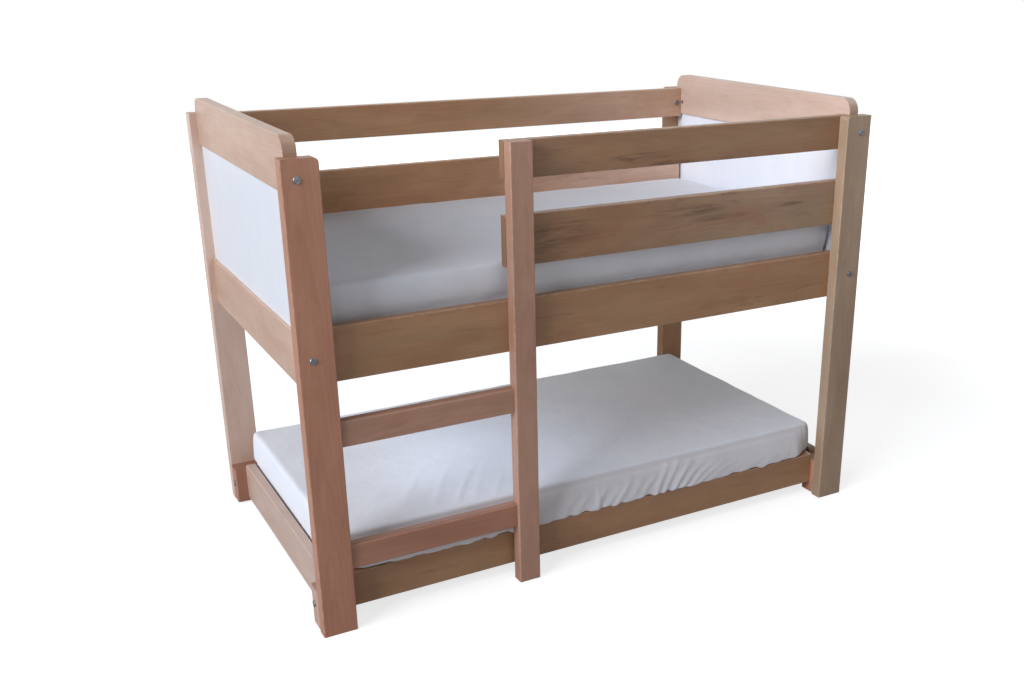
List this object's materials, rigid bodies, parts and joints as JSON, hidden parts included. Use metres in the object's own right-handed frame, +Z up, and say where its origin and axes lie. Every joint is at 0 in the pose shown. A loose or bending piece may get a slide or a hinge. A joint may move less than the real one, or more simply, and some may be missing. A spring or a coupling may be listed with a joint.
{
  "type": "bunk bed",
  "caption": "Low children's bunk bed of solid beech: corner posts, slatted beds with mattresses, guard rails, white end panels and a front ladder, bolted together.",
  "frame": {"origin": "on the floor, under the middle of the bed's overall box", "axes": "+X along the bed, away from the ladder's end; -Y towards the ladder side; +Z up"},
  "size_m": [1.756, 0.998, 1.276],
  "materials": {
    "beech": "satin clear lacquer",
    "white_panel": "white melamine-faced board, satin",
    "slat_wood": "planed, unfinished",
    "ticking": "woven cotton ticking",
    "sheet_cotton": "plain white cotton, lightly creased",
    "zinc_steel": "bright zinc plated",
    "dowel_wood": "turned, unfinished"
  },
  "bodies": {
    "root": {"front_left_post": "beech", "front_right_post": "beech", "back_left_post": "beech", "back_right_post": "beech", "ladder_post": "beech", "lower_rung": "beech", "upper_rung": "beech", "left_end_top_board": "beech", "left_end_bottom_board": "beech", "right_end_top_board": "beech", "right_end_bottom_board": "beech", "front_top_guard": "beech", "front_mid_guard": "beech", "front_mattress_rail": "beech", "back_top_guard": "beech", "back_mid_guard": "beech", "back_mattress_rail": "beech", "front_left_leg": "beech", "front_right_leg": "beech", "back_left_leg": "beech", "back_right_leg": "beech", "lower_front_rail": "beech", "lower_back_rail": "beech", "lower_left_end_rail": "beech", "lower_right_end_rail": "beech", "left_end_panel": "white_panel", "right_end_panel": "white_panel", "upper_front_cleat": "slat_wood", "upper_back_cleat": "slat_wood", "upper_slats": "slat_wood", "lower_front_cleat": "slat_wood", "lower_back_cleat": "slat_wood", "lower_slats": "slat_wood", "upper_mattress": "ticking", "lower_mattress": "ticking", "upper_fitted_sheet": "sheet_cotton", "lower_fitted_sheet": "sheet_cotton", "end_board_bolts": "zinc_steel", "end_board_nuts": "zinc_steel", "rail_bolts": "zinc_steel", "rail_inserts": "zinc_steel", "lower_rail_bolts": "zinc_steel", "lower_rail_nuts": "zinc_steel", "leg_screws": "zinc_steel", "end_rail_screws": "zinc_steel", "upper_cleat_screws": "zinc_steel", "lower_cleat_screws": "zinc_steel", "upper_slat_screws": "zinc_steel", "lower_slat_screws": "zinc_steel", "end_board_dowels": "dowel_wood", "rung_dowels": "dowel_wood"}
  },
  "joints": []
}
